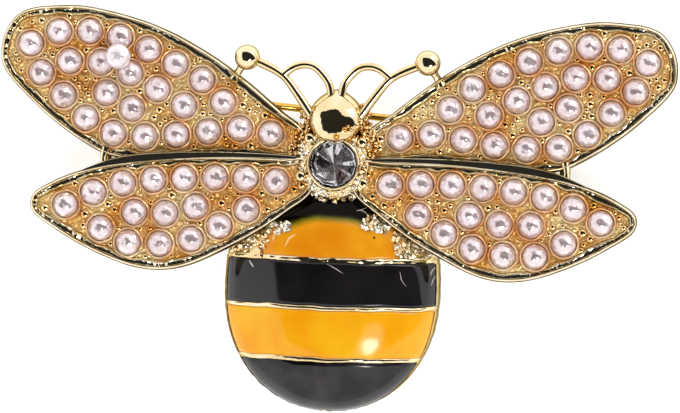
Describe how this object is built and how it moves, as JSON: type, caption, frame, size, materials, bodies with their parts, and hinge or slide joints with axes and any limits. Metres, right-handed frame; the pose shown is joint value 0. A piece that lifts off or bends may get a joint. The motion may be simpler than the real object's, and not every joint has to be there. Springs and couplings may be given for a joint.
{
  "type": "insect brooch",
  "caption": "Bee brooch: gilt wings set with round pearls, a clear stone, wire antennae and a domed enamelled abdomen, with a hinged pin behind.",
  "frame": {"origin": "under the middle of the brooch, on the surface that it lies on", "axes": "+X across the wings towards the wearer's view right, +Y towards the head, +Z out of the front"},
  "size_m": [0.0616, 0.0362, 0.0066],
  "materials": {
    "gilt": "bright pale gold plating, polished",
    "pearl": "pinkish white pearl lustre, glossy",
    "white_pearl": "white pearl lustre, glossy",
    "stone": "clear faceted stone with a foiled back",
    "amber_enamel": "glossy enamel, black at the collar",
    "black_enamel": "glossy enamel",
    "pin_wire": "gold plated wire"
  },
  "bodies": {
    "brooch": {"cast_body": "gilt", "pearls_fore_right": "pearl", "pearls_fore_left": "pearl", "pearls_hind_right": "pearl", "pearls_hind_left": "pearl", "stray_pearl": "white_pearl", "centre_stone": "stone", "enamel_fore": "amber_enamel", "enamel_middle": "black_enamel", "enamel_lower": "amber_enamel", "enamel_tip": "black_enamel"},
    "pin": {"pin_stem": "pin_wire"}
  },
  "joints": [
    {"name": "pin_hinge", "type": "hinge", "parent": "brooch", "child": "pin", "pos_m": [-0.017, 0.01042, 0.00115], "axis": [0.0767, 0.9971, 0], "range_deg": [0, 85]}
  ]
}
